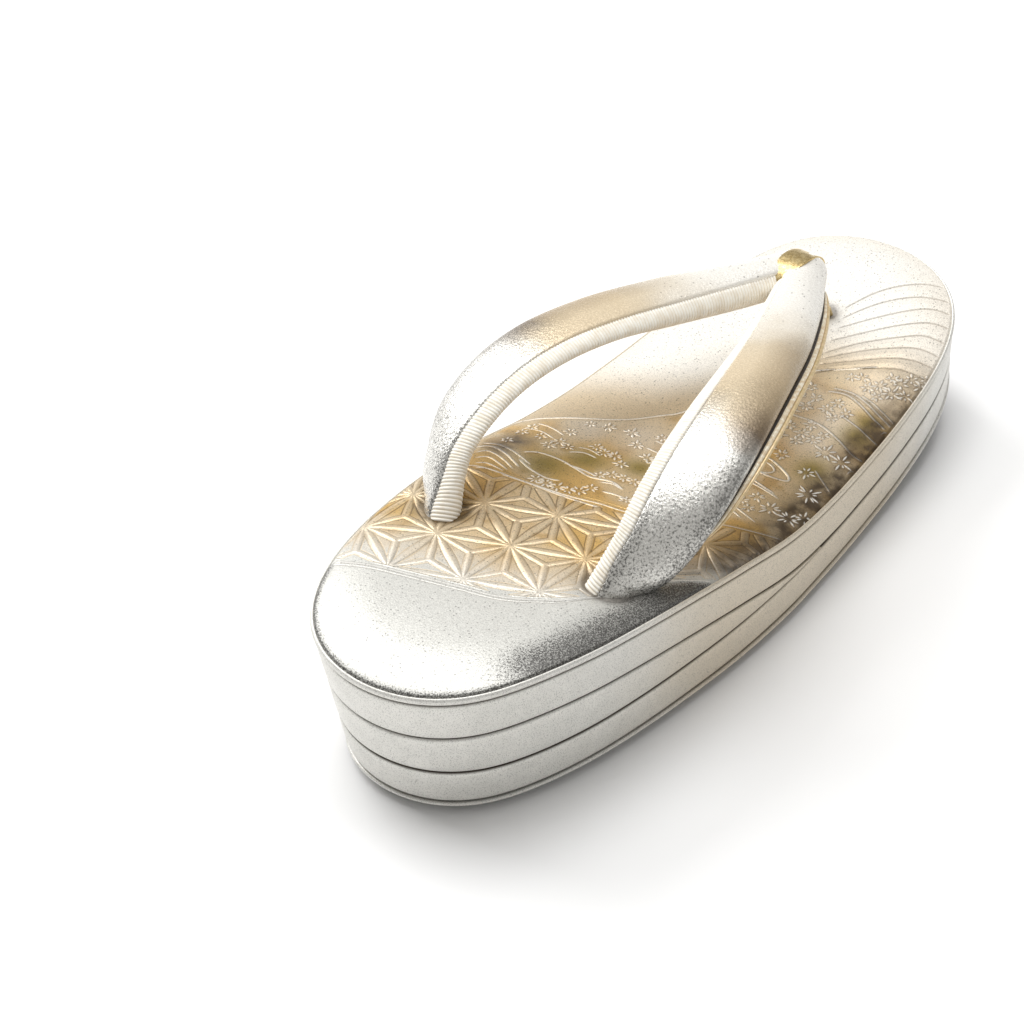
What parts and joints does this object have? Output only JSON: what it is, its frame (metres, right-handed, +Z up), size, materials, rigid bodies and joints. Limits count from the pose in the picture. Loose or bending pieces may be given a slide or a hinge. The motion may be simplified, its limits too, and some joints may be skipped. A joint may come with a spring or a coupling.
{
  "type": "zori sandal",
  "caption": "Right-foot zori sandal with a layered wedge sole, a crowned footbed and padded straps held by a front loop.",
  "frame": {"origin": "on the floor, under the middle of the sandal's length and width", "axes": "+Y to the toe, +X to the outer side of the right sandal, +Z up"},
  "size_m": [0.0894, 0.2408, 0.0685],
  "materials": {
    "outsole_rubber": "matt",
    "welt_leather": "pearl satin",
    "side_leather": "pearl satin",
    "cover_leather": "embossed metallic",
    "strap_leather": "metallic fine grain",
    "ribbed_lining": "ribbed",
    "piping_leather": "satin",
    "gold_leather": "metallic"
  },
  "bodies": {
    "root": {"outsole": "outsole_rubber", "welt": "welt_leather", "lower_layer": "side_leather", "wedge_layer": "side_leather", "upper_layer": "side_leather", "footbed": "cover_leather", "straps": "strap_leather", "strap_lining": "ribbed_lining", "piping_right": "piping_leather", "piping_left": "piping_leather", "front_loop": "gold_leather"}
  },
  "joints": []
}
